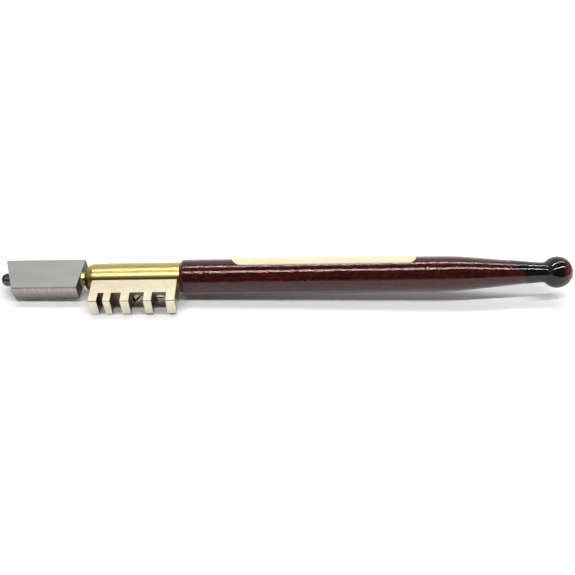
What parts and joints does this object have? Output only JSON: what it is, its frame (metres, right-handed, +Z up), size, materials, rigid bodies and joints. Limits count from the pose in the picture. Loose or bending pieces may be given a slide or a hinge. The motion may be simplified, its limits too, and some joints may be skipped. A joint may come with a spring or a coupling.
{
  "type": "glass cutter",
  "caption": "Glazier's diamond glass cutter: lacquered wooden handle, brass stem, notched breaker comb and swivelling steel head with a diamond point.",
  "frame": {"origin": "centre of the tool's footprint, on the surface it lies on", "axes": "+X along the handle's axis from the cutting tip to the ball end, +Z up from the surface, comb towards -Y and a little down"},
  "size_m": [0.183, 0.0194, 0.0117],
  "materials": {
    "lacquered_wood": "gloss lacquer, dark red with a black dipped ball end",
    "label_paper": "satin cream sticker, blank",
    "brass": "polished",
    "nickel_silver": "milled, warm silver",
    "screw_steel": "turned",
    "spring_steel": "bright drawn",
    "block_steel": "surface ground",
    "holder_steel": "blackened",
    "solder": "dull",
    "diamond": "clear"
  },
  "bodies": {
    "handle_and_stem": {"handle": "lacquered_wood", "label": "label_paper", "stem": "brass", "breaker_comb": "nickel_silver", "comb_screw": "screw_steel", "stop_screw": "screw_steel", "friction_spring": "spring_steel", "thrust_button": "spring_steel"},
    "cutting_head": {"spindle": "brass", "guide_block": "block_steel", "diamond_holder": "holder_steel", "setting": "solder", "diamond": "diamond"}
  },
  "joints": [
    {"name": "head_swivel", "type": "hinge", "parent": "handle_and_stem", "child": "cutting_head", "pos_m": [-0.06417, 0.00312, 0.00575], "axis": [1, 0, 0], "range_deg": [-20, 20]}
  ]
}
